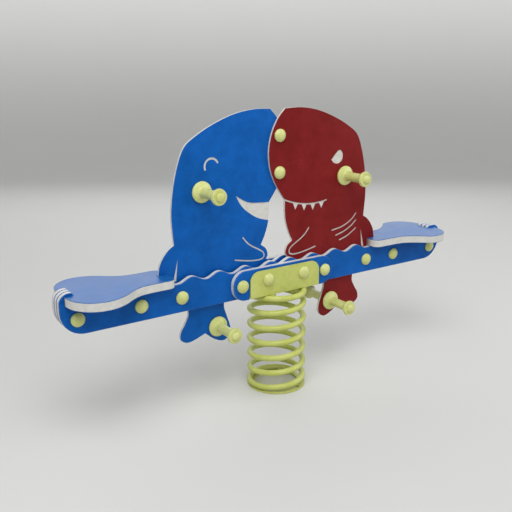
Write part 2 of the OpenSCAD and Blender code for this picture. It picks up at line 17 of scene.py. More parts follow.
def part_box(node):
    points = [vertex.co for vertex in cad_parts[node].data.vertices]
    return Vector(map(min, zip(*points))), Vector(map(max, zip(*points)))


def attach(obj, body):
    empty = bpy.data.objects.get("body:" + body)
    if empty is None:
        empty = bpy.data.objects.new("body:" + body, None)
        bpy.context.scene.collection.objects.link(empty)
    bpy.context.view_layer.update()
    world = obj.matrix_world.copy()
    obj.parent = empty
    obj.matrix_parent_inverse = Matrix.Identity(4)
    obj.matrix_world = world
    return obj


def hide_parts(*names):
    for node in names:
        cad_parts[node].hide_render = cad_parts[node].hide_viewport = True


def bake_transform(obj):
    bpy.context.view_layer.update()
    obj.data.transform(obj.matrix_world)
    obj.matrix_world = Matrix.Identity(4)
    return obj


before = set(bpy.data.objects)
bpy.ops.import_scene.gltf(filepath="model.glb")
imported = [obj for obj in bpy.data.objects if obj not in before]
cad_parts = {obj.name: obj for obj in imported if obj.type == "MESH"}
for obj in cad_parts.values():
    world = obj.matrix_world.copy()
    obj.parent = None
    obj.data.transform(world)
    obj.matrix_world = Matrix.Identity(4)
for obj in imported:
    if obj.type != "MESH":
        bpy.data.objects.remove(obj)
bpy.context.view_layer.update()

logging.basicConfig(level=logging.INFO, format="%(levelname)s %(message)s")
LOG = logging.getLogger("spring_rocker")

Colour = tuple[float, float, float, float]
MM = 0.001
WELD_DISTANCE = 0.004 * MM
FLAT_DEGREES = 0.4


# ---- Names of choices ----


class Stack(Enum):
    """Direction in which a board's layers are stacked."""

    ACROSS = (0.0, 1.0, 0.0)
    UP = (0.0, 0.0, 1.0)


class Side(Enum):
    """Face of the beam that a fitting sits on; the front is -Y."""

    FRONT = -1
    REAR = 1


class Body(Enum):
    """Body that a piece moves with."""

    ANCHOR = "anchor"
    SPRING = "spring"
    ROCKER = "rocker"


class Slot(Enum):
    """Finish that the part's record names."""

    BLUE_BOARD = "blue_board"
    RED_BOARD = "red_board"
    LIME_STEEL = "lime_steel"
    LIME_PLASTIC = "lime_plastic"
    ZINC_STEEL = "zinc_steel"


class Skin(Enum):
    """Where a coat's pattern takes its points from."""

    OBJECT = "object"
    LAY = "lay"


# ---- Node wiring ----


def linear(red: int, green: int, blue: int) -> Colour:
    """Turns an 8-bit display colour into a linear one.

    Args:
        red: Red, from 0 to 255.
        green: Green, from 0 to 255.
        blue: Blue, from 0 to 255.

    Returns:
        The linear colour, opaque.
    """
    values = [c / 255 for c in (red, green, blue)]
    found = [c / 12.92 if c <= 0.04045 else ((c + 0.055) / 1.055) ** 2.4 for c in values]
    return (found[0], found[1], found[2], 1.0)


class Wiring:
    """Adds nodes to one node tree and joins them as it goes."""

    def __init__(self, tree: bpy.types.NodeTree) -> None:
        """Keeps the tree that the nodes go into."""
        self.tree = tree

    def add(self, kind: str, inputs: dict[Any, Any] | None = None, **settings: Any) -> bpy.types.Node:
        """Adds one node.

        Args:
            kind: Blender's name for the node's type.
            inputs: Value or socket for each input, by its name or place.
            **settings: Properties of the node itself.

        Returns:
            The new node.
        """
        node = self.tree.nodes.new(kind)
        for name, value in settings.items():
            setattr(node, name, value)
        for key, value in (inputs or {}).items():
            if isinstance(value, bpy.types.NodeSocket):
                self.feed(node, key, value)
            else:
                node.inputs[key].default_value = value
        return node

    def feed(self, node: bpy.types.Node, key: Any, value: bpy.types.NodeSocket) -> None:
        """Joins a socket to a node's input, which is given by its name or place."""
        self.tree.links.new(value, node.inputs[key])

    def math(self, operation: str, a: Any, b: Any = 0.0) -> bpy.types.NodeSocket:
        """Adds a Math node and returns its result."""
        return self.add("ShaderNodeMath", {0: a, 1: b}, operation=operation).outputs[0]

    def plus(self, a: Any, b: Any) -> bpy.types.NodeSocket:
        """Returns a + b."""
        return self.math("ADD", a, b)

    def minus(self, a: Any, b: Any) -> bpy.types.NodeSocket:
        """Returns a - b."""
        return self.math("SUBTRACT", a, b)

    def times(self, a: Any, b: Any) -> bpy.types.NodeSocket:
        """Returns a * b."""
        return self.math("MULTIPLY", a, b)

    def larger(self, a: Any, b: Any) -> bpy.types.NodeSocket:
        """Returns the larger of a and b."""
        return self.math("MAXIMUM", a, b)

    def along(self, point: Any, direction: Any) -> bpy.types.NodeSocket:
        """Returns how far a point lies along a direction."""
        inputs = {0: point, 1: direction}
        return self.add("ShaderNodeVectorMath", inputs, operation="DOT_PRODUCT").outputs["Value"]

    def ramp(self, value: Any, low: Any, high: Any) -> bpy.types.NodeSocket:
        """Returns a smooth step from 0 at low to 1 at high."""
        inputs = {"Value": value, "From Min": low, "From Max": high}
        return self.add("ShaderNodeMapRange", inputs, interpolation_type="SMOOTHSTEP").outputs[0]

    def blend(self, share: Any, a: Any, b: Any) -> bpy.types.NodeSocket:
        """Returns the colour between a, at share 0, and b, at share 1."""
        return self.add("ShaderNodeMix", {0: share, 6: a, 7: b}, data_type="RGBA").outputs[2]

    def between(self, share: Any, a: Any, b: Any) -> bpy.types.NodeSocket:
        """Returns the number between a, at share 0, and b, at share 1."""
        return self.add("ShaderNodeMix", {0: share, 2: a, 3: b}, data_type="FLOAT").outputs[0]

    def noise(
        self, point: Any, size: Any, detail: float = 2.0, roughness: float = 0.5
    ) -> bpy.types.NodeSocket:
        """Returns smooth noise from 0 to 1 whose blobs are about as wide as size, in metres."""
        scale = self.math("DIVIDE", 1.0, size)
        inputs = {"Vector": point, "Scale": scale, "Detail": detail, "Roughness": roughness}
        return self.add("ShaderNodeTexNoise", inputs).outputs[0]


NUMBER = "NodeSocketFloat"
WHOLE = "NodeSocketInt"
VECTOR = "NodeSocketVector"
GEOMETRY = "NodeSocketGeometry"
MATERIAL = "NodeSocketMaterial"


def start_group(
    name: str, kind: str, inputs: Sequence[tuple[str, str, Any]], outputs: Sequence[tuple[str, str]]
) -> tuple[Wiring, Any, bpy.types.Node]:
    """Starts a node group with named sockets.

    Args:
        name: Name of the group.
        kind: Blender's name for the tree's type.
        inputs: Name, socket type and default of each input.
        outputs: Name and socket type of each output.

    Returns:
        The wiring of the new tree, the sockets that it is given and its output node.
    """
    tree = bpy.data.node_groups.new(name, kind)
    for label, socket, default in inputs:
        made = tree.interface.new_socket(name=label, in_out="INPUT", socket_type=socket)
        if default is not None:
            made.default_value = default
    for label, socket in outputs:
        tree.interface.new_socket(name=label, in_out="OUTPUT", socket_type=socket)
    wiring = Wiring(tree)
    return wiring, wiring.add("NodeGroupInput").outputs, wiring.add("NodeGroupOutput")


def effect_group(
    name: str, outputs: Sequence[str], vectors: Sequence[str], **numbers: float
) -> tuple[Wiring, Any, bpy.types.Node]:
    """Starts a shader group that puts out numbers.

    Args:
        name: Name of the group.
        outputs: Name of each output.
        vectors: Name of each vector input.
        **numbers: Default of each number input.

    Returns:
        The wiring of the new tree, the sockets that it is given and its output node.
    """
    inputs = [(label, VECTOR, None) for label in vectors]
    inputs += [(label, NUMBER, default) for label, default in numbers.items()]
    return start_group(name, "ShaderNodeTree", inputs, [(label, NUMBER) for label in outputs])


class Effects:
    """Shader groups that the finishes share, each built once."""

    def __init__(self) -> None:
        """Builds every group."""
        self.layers = self._layers()
        self.grain = self._grain()
        self.clouding = self._clouding()
        self.scratches = self._scratches()
        self.soil = self._soil()
        self.chips = self._chips()
        self.cutter = self._cutter()

    @staticmethod
    def place(w: Wiring, group: bpy.types.NodeTree, **values: Any) -> Any:
        """Places a group in a tree with its own values and returns all its outputs."""
        return w.add("ShaderNodeGroup", values, node_tree=group).outputs

    def use(self, w: Wiring, group: bpy.types.NodeTree, **values: Any) -> bpy.types.NodeSocket:
        """Places a group in a tree with its own values and returns its first output."""
        return self.place(w, group, **values)[0]

    @staticmethod
    def _layers() -> bpy.types.NodeTree:
        """Masks of a three-layer board: its pale core, and the rounding along its outer corners."""
        sizes = {"Middle": 0.0, "Half": 9.5 * MM, "Core": 7 * MM, "Rounding": 2 * MM}
        w, given, out = effect_group("board_layers", ("Core", "Rim"), ("Point", "Across"), **sizes)
        wander_size, wander_reach, soft = 18 * MM, 0.5 * MM, 0.12 * MM
        flat_start, flat_end = 0.3 * MM, 0.03 * MM
        depth = w.math("ABSOLUTE", w.minus(w.along(given["Point"], given["Across"]), given["Middle"]))
        wander = w.minus(w.noise(given["Point"], wander_size), 0.5)
        line = w.plus(given["Core"], w.times(wander, wander_reach))
        skin = w.ramp(depth, w.minus(line, soft), w.plus(line, soft))
        half = given["Half"]
        foot = w.minus(half, given["Rounding"])
        rise = w.ramp(depth, foot, w.minus(half, w.times(given["Rounding"], 0.5)))
        flat = w.ramp(depth, w.minus(half, flat_start), w.minus(half, flat_end))
        w.feed(out, "Core", w.minus(1.0, skin))
        w.feed(out, "Rim", w.times(rise, w.minus(1.0, flat)))
        return w.tree

    @staticmethod
    def _grain() -> bpy.types.NodeTree:
        """Height of a pebbled or orange-peel surface."""
        w, given, out = effect_group("pebble_grain", ("Height",), ("Point",), Size=1.5 * MM)
        cell_share = 0.45
        fine = w.noise(given["Point"], given["Size"], 3.0, 0.6)
        inputs = {"Vector": given["Point"], "Scale": w.math("DIVIDE", 1.0, given["Size"])}
        cell = w.add("ShaderNodeTexVoronoi", inputs, feature="SMOOTH_F1").outputs["Distance"]
        w.feed(out, "Height", w.between(cell_share, fine, cell))
        return w.tree

    @staticmethod
    def _clouding() -> bpy.types.NodeTree:
        """Soft change of tone from place to place, from 0 to 1."""
        w, given, out = effect_group("cloudy_tone", ("Tone",), ("Point",), Size=120 * MM)
        close_scale, close_share, dark, light = 0.21, 0.3, 0.3, 0.7
        broad = w.noise(given["Point"], given["Size"], 3.0, 0.55)
        close = w.noise(given["Point"], w.times(given["Size"], close_scale), 2.0)
        w.feed(out, "Tone", w.ramp(w.between(close_share, broad, close), dark, light))
        return w.tree

    @staticmethod
    def _scratches() -> bpy.types.NodeTree:
        """Mask of fine rubbed lines in two slanting directions."""
        w, given, out = effect_group("fine_scratches", ("Mask",), ("Point",), Amount=0.5)
        slants = (((0.3, 0.5, 0.4), (26.0, 900.0, 900.0)), ((-0.5, 0.9, 1.3), (34.0, 1200.0, 1200.0)))
        patch_size, line_from, line_full, patch_from, patch_full = 90 * MM, 0.7, 0.76, 0.42, 0.62
        lines = []
        for turn, stretch in slants:
            inputs = {"Vector": given["Point"], "Rotation": turn, "Scale": stretch}
            turned = w.add("ShaderNodeMapping", inputs).outputs[0]
            streak = w.add("ShaderNodeTexNoise", {"Vector": turned, "Scale": 1.0, "Detail": 1.0})
            lines.append(w.ramp(streak.outputs[0], line_from, line_full))
        patch = w.ramp(w.noise(given["Point"], patch_size), patch_from, patch_full)
        w.feed(out, "Mask", w.times(w.times(w.larger(*lines), patch), given["Amount"]))
        return w.tree

    @staticmethod
    def _soil() -> bpy.types.NodeTree:
        """Mask of splashed soil that fades with height above the ground."""
        w, given, out = effect_group("splashed_soil", ("Mask",), ("Point",), Reach=80 * MM)
        blot_size, blot_from, blot_full = 14 * MM, 0.38, 0.68
        height = w.add("ShaderNodeSeparateXYZ", {0: given["Point"]}).outputs["Z"]
        low = w.minus(1.0, w.ramp(height, 0.0, given["Reach"]))
        blot = w.ramp(w.noise(given["Point"], blot_size, 4.0, 0.65), blot_from, blot_full)
        w.feed(out, "Mask", w.times(low, blot))
        return w.tree

    @staticmethod
    def _chips() -> bpy.types.NodeTree:
        """Mask of a coat chipped along its edges."""
        w, given, out = effect_group("chipped_edge", ("Mask",), ("Point",), Edge=0.0, Amount=0.3)
        blot_size, soft = 6 * MM, 0.06
        blot = w.noise(given["Point"], blot_size, 4.0, 0.7)
        limit = w.minus(1.0, w.times(given["Edge"], given["Amount"]))
        w.feed(out, "Mask", w.ramp(blot, w.minus(limit, soft), limit))
        return w.tree

    @staticmethod
    def _cutter() -> bpy.types.NodeTree:
        """Height of the fine marks that a router leaves across the thickness of a board."""
        w, given, out = effect_group("cutter_marks", ("Height",), ("Point", "Across"), Spacing=1.2 * MM)
        stretch = 0.96
        back = w.add("ShaderNodeVectorMath", {0: given["Across"]}, operation="SCALE")
        w.feed(back, "Scale", w.times(w.along(given["Point"], given["Across"]), stretch))
        drawn = w.add("ShaderNodeVectorMath", {0: given["Point"], 1: back.outputs[0]}, operation="SUBTRACT")
        w.feed(out, "Height", w.noise(drawn.outputs[0], given["Spacing"], 1.0))
        return w.tree


# ---- Finishes ----


def start_material(name: str) -> tuple[bpy.types.Material, Wiring, bpy.types.Node]:
    """Makes an empty material with a Principled shader.

    Args:
        name: Name of the material.

    Returns:
        The material, its wiring and its shader node.
    """
    material = bpy.data.materials.new(name)
    material.use_nodes = True
    material.node_tree.nodes.clear()
    wiring = Wiring(material.node_tree)
    shader = wiring.add("ShaderNodeBsdfPrincipled")
    wiring.add("ShaderNodeOutputMaterial", {"Surface": shader.outputs[0]})
    return material, wiring, shader


def own_point(w: Wiring) -> bpy.types.NodeSocket:
    """Returns the point of the surface in the object's own coordinates."""
    return w.add("ShaderNodeTexCoord").outputs["Object"]


def raise_surface(w: Wiring, shader: bpy.types.Node, height: Any, distance: float, strength: float) -> None:
    """Feeds a height through a Bump node into the shader's normal.

    Args:
        w: Wiring of the material.
        shader: Its shader node.
        height: Socket with the height, from 0 to 1.
        distance: Real height of 1, in metres.
        strength: Share of the effect.
    """
    bump = w.add("ShaderNodeBump", {"Strength": strength, "Distance": distance, "Height": height})
    w.feed(shader, "Normal", bump.outputs[0])


@dataclass(frozen=True)
class BoardFinish:
    """Plastic board with coloured pebbled skins over a pale core, which shows wherever it is cut."""

    name: str
    deep: Colour
    pale: Colour
    core_light: Colour = linear(217, 216, 212)
    core_dull: Colour = linear(196, 194, 187)
    skin_roughness: float = 0.42
    scuffed_roughness: float = 0.52
    core_roughness: float = 0.62
    specular: float = 0.12
    tone_size: float = 130 * MM
    patch_size: float = 42 * MM
    patch_share: float = 0.38
    fleck_size: float = 16 * MM
    mark_share: float = 0.35
    scratches: float = 0.5
    scratch_wear: float = 0.07
    rim_wear: float = 0.28
    pebble_size: float = 1.6 * MM
    relief: float = 0.22 * MM
    relief_share: float = 0.35

    def material(
        self, effects: Effects, piece: str, stack: Stack, middle: float, half: float, core: float,
        rounding: float,
    ) -> bpy.types.Material:
        """Makes the finish for one board.

        Args:
            effects: The shared shader groups.
            piece: Name of the board.
            stack: Direction of its layers.
            middle: Place of its middle plane along that direction, in metres.
            half: Half of its thickness.
            core: Half of its core's thickness.
            rounding: Radius of its outer corners.

        Returns:
            The material.
        """
        material, w, shader = start_material(f"{self.name}_{piece}")
        shader.inputs["Specular IOR Level"].default_value = self.specular
        point, across = own_point(w), stack.value
        sizes = {"Middle": middle, "Half": half, "Core": core, "Rounding": rounding}
        layers = effects.place(w, effects.layers, Point=point, Across=across, **sizes)
        core_mask, rim = layers["Core"], layers["Rim"]
        tone, patch, fleck = (
            effects.use(w, effects.clouding, Point=point, Size=size)
            for size in (self.tone_size, self.patch_size, self.fleck_size)
        )
        scratch = effects.use(w, effects.scratches, Point=point, Amount=self.scratches)
        pebbles = effects.use(w, effects.grain, Point=point, Size=self.pebble_size)
        marks = effects.use(w, effects.cutter, Point=point, Across=across)
        skin = w.blend(w.between(self.patch_share, tone, patch), self.deep, self.pale)
        worn = w.larger(w.times(rim, w.times(fleck, self.rim_wear)), w.times(scratch, self.scratch_wear))
        skin = w.blend(worn, skin, self.core_dull)
        core_colour = w.blend(w.between(self.mark_share, fleck, marks), self.core_dull, self.core_light)
        w.feed(shader, "Base Color", w.blend(core_mask, skin, core_colour))
        scuffs = w.larger(w.times(tone, 0.5), scratch)
        skin_gloss = w.between(scuffs, self.skin_roughness, self.scuffed_roughness)
        w.feed(shader, "Roughness", w.between(core_mask, skin_gloss, self.core_roughness))
        raise_surface(w, shader, w.between(core_mask, pebbles, marks), self.relief, self.relief_share)
        return material


@dataclass(frozen=True)
class CoatFinish:
    """Powder coat on steel, chipped at its edges and splashed near the ground."""

    name: str
    deep: Colour = linear(180, 187, 88)
    pale: Colour = linear(197, 203, 113)
    primer: Colour = linear(122, 116, 98)
    soil: Colour = linear(118, 104, 78)
    roughness: float = 0.36
    dull_roughness: float = 0.7
    chips: float = 0.42
    chip_depth: float = 0.8
    scratches: float = 0.4
    scratch_wear: float = 0.1
    soil_reach: float = 35 * MM
    soil_share: float = 0.25
    tone_size: float = 70 * MM
    tone_dulling: float = 0.3
    peel_size: float = 2.4 * MM
    relief: float = 0.18 * MM
    relief_share: float = 0.3

    def material(self, effects: Effects, skin: Skin) -> bpy.types.Material:
        """Makes the coat.

        Args:
            effects: The shared shader groups.
            skin: Where the pattern takes its points from.

        Returns:
            The material.
        """
        material, w, shader = start_material(f"{self.name}_{skin.value}")
        if skin is Skin.LAY:
            point = w.add("ShaderNodeAttribute", attribute_name="lay").outputs["Vector"]
            edge: Any = 0.0
        else:
            point = own_point(w)
            edge = w.add("ShaderNodeAttribute", attribute_name="edge").outputs["Fac"]
        tone = effects.use(w, effects.clouding, Point=point, Size=self.tone_size)
        chips = effects.use(w, effects.chips, Point=point, Edge=edge, Amount=self.chips)
        soil = effects.use(w, effects.soil, Point=point, Reach=self.soil_reach)
        scratch = effects.use(w, effects.scratches, Point=point, Amount=self.scratches)
        peel = effects.use(w, effects.grain, Point=point, Size=self.peel_size)
        colour = w.blend(tone, self.deep, self.pale)
        colour = w.blend(w.larger(chips, w.times(scratch, self.scratch_wear)), colour, self.primer)
        colour = w.blend(w.times(soil, self.soil_share), colour, self.soil)
        w.feed(shader, "Base Color", colour)
        dull = w.larger(w.larger(chips, soil), w.times(tone, self.tone_dulling))
        w.feed(shader, "Roughness", w.between(dull, self.roughness, self.dull_roughness))
        height = w.minus(peel, w.times(chips, self.chip_depth))
        raise_surface(w, shader, height, self.relief, self.relief_share)
        return material


@dataclass(frozen=True)
class MouldedFinish:
    """Glossy moulded plastic with a faint flow of tone."""

    name: str
    deep: Colour = linear(193, 198, 116)
    pale: Colour = linear(211, 214, 142)
    rubbed: Colour = linear(218, 220, 184)
    roughness: float = 0.3
    rubbed_roughness: float = 0.5
    tone_size: float = 35 * MM
    tone_dulling: float = 0.4
    scratches: float = 0.6
    scratch_wear: float = 0.12
    grain_size: float = 0.9 * MM
    relief: float = 0.08 * MM
    relief_share: float = 0.3

    def material(self, effects: Effects) -> bpy.types.Material:
        """Makes the plastic from the shared shader groups."""
        material, w, shader = start_material(self.name)
        point = own_point(w)
        tone = effects.use(w, effects.clouding, Point=point, Size=self.tone_size)
        scratch = effects.use(w, effects.scratches, Point=point, Amount=self.scratches)
        grain = effects.use(w, effects.grain, Point=point, Size=self.grain_size)
        colour = w.blend(tone, self.deep, self.pale)
        colour = w.blend(w.times(scratch, self.scratch_wear), colour, self.rubbed)
        w.feed(shader, "Base Color", colour)
        rubbing = w.larger(w.times(tone, self.tone_dulling), scratch)
        w.feed(shader, "Roughness", w.between(rubbing, self.roughness, self.rubbed_roughness))
        raise_surface(w, shader, grain, self.relief, self.relief_share)
        return material


@dataclass(frozen=True)
class ZincFinish:
    """Bright zinc plating with a fine spangle and a few dull blooms."""

    name: str
    bright: Colour = linear(176, 178, 180)
    dull: Colour = linear(140, 141, 140)
    bright_roughness: float = 0.28
    dull_roughness: float = 0.55
    spangles_per_metre: float = 420.0
    bloom_size: float = 11 * MM
    grain_size: float = 0.7 * MM
    relief: float = 0.05 * MM
    relief_share: float = 0.3

    def material(self, effects: Effects) -> bpy.types.Material:
        """Makes the plating from the shared shader groups."""
        material, w, shader = start_material(self.name)
        shader.inputs["Metallic"].default_value = 1.0
        point = own_point(w)
        cell = w.add("ShaderNodeTexVoronoi", {"Vector": point, "Scale": self.spangles_per_metre})
        spangle = w.add("ShaderNodeSeparateColor", {0: cell.outputs["Color"]}).outputs[0]
        bloom = effects.use(w, effects.clouding, Point=point, Size=self.bloom_size)
        grain = effects.use(w, effects.grain, Point=point, Size=self.grain_size)
        w.feed(shader, "Base Color", w.blend(w.between(0.5, spangle, bloom), self.bright, self.dull))
        w.feed(shader, "Roughness", w.between(bloom, self.bright_roughness, self.dull_roughness))
        raise_surface(w, shader, grain, self.relief, self.relief_share)
        return material


# ---- Meshes ----


def joined_copy(node: str) -> bmesh.types.BMesh:
    """Copies a CAD node's mesh and joins its loose triangles at their corners.

    Args:
        node: Name of the CAD node.

    Returns:
        The copy, still to be freed.
    """
    bm = bmesh.new()
    bm.from_mesh(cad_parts[node].data)
    bmesh.ops.remove_doubles(bm, verts=bm.verts[:], dist=WELD_DISTANCE)
    return bm


def merged_copy(node: str) -> bmesh.types.BMesh:
    """Copies a CAD node's mesh with its triangles joined into flat faces."""
    bm = joined_copy(node)
    bmesh.ops.dissolve_limit(bm, angle_limit=math.radians(FLAT_DEGREES), verts=bm.verts[:], edges=bm.edges[:])
    return bm


def islands(node: str) -> list[tuple[Vector, Vector]]:
    """Finds the separate solids that share a CAD node.

    Args:
        node: Name of the CAD node.

    Returns:
        The lowest and highest corner of each, from left to right.
    """
    bm = joined_copy(node)
    waiting, boxes = set(bm.verts), []
    while waiting:
        edge_of_search = [waiting.pop()]
        points = []
        while edge_of_search:
            vertex = edge_of_search.pop()
            points.append(vertex.co.copy())
            for link in vertex.link_edges:
                other = link.other_vert(vertex)
                if other in waiting:
                    waiting.discard(other)
                    edge_of_search.append(other)
        low = Vector(min(p[i] for p in points) for i in range(3))
        high = Vector(max(p[i] for p in points) for i in range(3))
        boxes.append((low, high))
    bm.free()
    return sorted(boxes, key=lambda b: (round(b[0].x, 4), round(b[0].z, 4), round(b[0].y, 4)))


def round_edges(bm: bmesh.types.BMesh, edges: Sequence[bmesh.types.BMEdge], radius: float) -> None:
    """Rounds edges and marks the new faces in a float layer called edge.

    Args:
        bm: The mesh.
        edges: The edges to round.
        radius: Radius of the rounding, in metres.
    """
    steps, mark_at_flat = 3, 0.3
    mark = bm.loops.layers.float.new("edge")
    made = bmesh.ops.bevel(
        bm, geom=edges, offset=radius, offset_type="OFFSET", segments=steps, profile=0.5,
        affect="EDGES", clamp_overlap=False, miter_outer="SHARP",
    )
    fresh = set(made["faces"])
    for face in fresh:
        for loop in face.loops:
            at_flat = any(f not in fresh for f in loop.vert.link_faces)
            loop[mark] = mark_at_flat if at_flat else 1.0


def smooth_mesh(bm: bmesh.types.BMesh, name: str, sharp_degrees: float) -> bpy.types.Mesh:
    """Turns a bmesh into a mesh that is smooth below an angle and flat on its large faces.

    Args:
        bm: The mesh to take, which is freed.
        name: Name of the new mesh.
        sharp_degrees: Angle above which an edge stays sharp.

    Returns:
        The mesh.
    """
    raw = bpy.data.meshes.new(name + "_raw")
    bm.to_mesh(raw)
    bm.free()
    shade_smooth(raw, sharp_degrees)
    return baked(raw, name, weigh_normals)


def shade_smooth(mesh: bpy.types.Mesh, sharp_degrees: float) -> None:
    """Smooths a mesh, except at edges sharper than an angle."""
    mesh.polygons.foreach_set("use_smooth", [True] * len(mesh.polygons))
    mesh.set_sharp_from_angle(angle=math.radians(sharp_degrees))


def weigh_normals(obj: bpy.types.Object) -> None:
    """Lets large faces keep their own normals at the edges they share with small ones."""
    modifier = obj.modifiers.new("weighted", "WEIGHTED_NORMAL")
    modifier.keep_sharp = True
    modifier.weight = 100


def baked(raw: bpy.types.Mesh, name: str, dress: Callable[[bpy.types.Object], None]) -> bpy.types.Mesh:
    """Evaluates modifiers on a mesh and gives back a plain one.

    Args:
        raw: The mesh that the modifiers start from, which is removed.
        name: Name of the result.
        dress: Function that puts the modifiers on an object.

    Returns:
        The plain mesh.
    """
    holder = bpy.data.objects.new(name + "_holder", raw)
    bpy.context.scene.collection.objects.link(holder)
    dress(holder)
    depsgraph = bpy.context.evaluated_depsgraph_get()
    depsgraph.update()
    mesh = bpy.data.meshes.new_from_object(
        holder.evaluated_get(depsgraph), preserve_all_data_layers=True, depsgraph=depsgraph
    )
    mesh.name = name
    bpy.data.objects.remove(holder)
    bpy.data.meshes.remove(raw)
    return mesh


def lathe(profile: Sequence[tuple[float, float]], segments: int, seam: float = 0.0) -> bmesh.types.BMesh:
    """Turns a closed profile round the Z axis.

    Args:
        profile: Radius and height of each point in metres, going round the section. A radius of 0 is a pole.
        segments: Number of sides.
        seam: Height of the two mould lines, 0 for none.

    Returns:
        The mesh, with its faces outwards.
    """
    seam_width, seam_from = 0.7 * MM, 0.45
    lifted = (0.0, math.pi)
    angles = [math.tau * i / segments for i in range(segments)]
    bm = bmesh.new()
    widest = max(r for r, _ in profile)
    if seam:
        step = seam_width / widest
        angles = sorted([*angles, *((a + s) % math.tau for a in lifted for s in (step, -step))])
    rings = []
    for r, z in profile:
        if r == 0:
            rings.append([bm.verts.new((0.0, 0.0, z))] * len(angles))
            continue
        lift = seam if r > seam_from * widest else 0.0
        reach = [r + (lift if a in lifted else 0.0) for a in angles]
        rings.append([bm.verts.new((q * math.cos(a), q * math.sin(a), z)) for q, a in zip(reach, angles)])
    for one, two in zip(rings, rings[1:] + rings[:1]):
        for i in range(len(angles)):
            j = (i + 1) % len(angles)
            corners = list(dict.fromkeys([one[i], one[j], two[j], two[i]]))
            if len(corners) > 2:
                bm.faces.new(corners)
    bmesh.ops.recalc_face_normals(bm, faces=bm.faces[:])
    return bm


def curve_through(points: Sequence[tuple[float, float]], steps: int) -> list[tuple[float, float]]:
    """Draws a smooth curve through points.

    Args:
        points: The points, in order.
        steps: Steps between two of them.

    Returns:
        The points of the curve, both ends included.
    """
    p = [Vector(q) for q in points]
    p = [2 * p[0] - p[1], *p, 2 * p[-1] - p[-2]]
    found = []
    for i in range(1, len(p) - 2):
        a, b, c, d = p[i - 1 : i + 3]
        for s in range(steps):
            t = s / steps
            q = b + 0.5 * t * (c - a + t * (2 * a - 5 * b + 4 * c - d + t * (3 * (b - c) + d - a)))
            found.append((q.x, q.y))
    return [*found, (p[-2].x, p[-2].y)]


def on_face(x: float, y: float, z: float, side: Side) -> Matrix:
    """Returns the place of a fitting drawn along +Z from the board, on the face at y."""
    return Matrix.Translation((x, y, z)) @ Matrix.Rotation(math.radians(-90 * side.value), 4, "X")


def add_piece(
    name: str, mesh: bpy.types.Mesh, material: bpy.types.Material, nodes: Sequence[str],
    body: Body | None,
) -> bpy.types.Object:
    """Puts a finished mesh in the scene as a piece that stands for CAD nodes.

    Args:
        name: Name of the piece.
        mesh: Its mesh, in place.
        material: Its finish.
        nodes: The CAD nodes that it stands for.
        body: Body that it rides on, or None for no body.

    Returns:
        The new object.
    """
    mesh.materials.clear()
    mesh.materials.append(material)
    obj = bpy.data.objects.new(name, mesh)
    bpy.context.scene.collection.objects.link(obj)
    if body is not None:
        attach(obj, body.value)
    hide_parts(*nodes)
    LOG.info("%s: %d faces, stands for %s", name, len(mesh.polygons), ", ".join(nodes))
    return obj


# ---- Geometry trees ----


class Grower:
    """Runs a geometry tree with named inputs and keeps the plain mesh that comes out."""

    def __init__(self, tree: bpy.types.NodeTree) -> None:
        """Keeps the tree and the identifier of each of its named inputs."""
        self.tree = tree
        items = tree.interface.items_tree
        inputs = [i for i in items if i.item_type == "SOCKET" and i.in_out == "INPUT"]
        self.sockets = {i.name: i.identifier for i in inputs}

    def grow(self, name: str, seed: bpy.types.Mesh, values: dict[str, Any]) -> bpy.types.Mesh:
        """Runs the tree.

        Args:
            name: Name of the result.
            seed: Mesh that goes in, which is removed.
            values: Value of each named input.

        Returns:
            The plain mesh.
        """

        def dress(holder: bpy.types.Object) -> None:
            """Puts the tree on the object with its values."""
            modifier = holder.modifiers.new("grow", "NODES")
            modifier.node_group = self.tree
            for label, value in values.items():
                modifier[self.sockets[label]] = value

        return baked(seed, name, dress)


def geometry_group(
    name: str, inputs: Sequence[tuple[str, str, Any]]
) -> tuple[Wiring, Any, bpy.types.Node]:
    """Starts a geometry tree that takes a geometry and gives one back.

    Args:
        name: Name of the tree.
        inputs: Name, socket type and default of each further input.

    Returns:
        The wiring of the new tree, the sockets that it is given and its output node.
    """
    whole = ("Geometry", GEOMETRY)
    return start_group(name, "GeometryNodeTree", [(*whole, None), *inputs], [whole])


def close_tree(w: Wiring, out: bpy.types.Node, made: bpy.types.Node, finish: Any) -> bpy.types.NodeTree:
    """Ends a geometry tree: its instances become real and take their finish.

    Args:
        w: Wiring of the tree.
        out: Its output node.
        made: Node whose first output is the finished shape.
        finish: Socket with the material.

    Returns:
        The tree.
    """
    real = w.add("GeometryNodeRealizeInstances", {"Geometry": made.outputs[0]})
    coated = w.add("GeometryNodeSetMaterial", {"Geometry": real.outputs[0], "Material": finish})
    w.feed(out, 0, coated.outputs[0])
    return w.tree


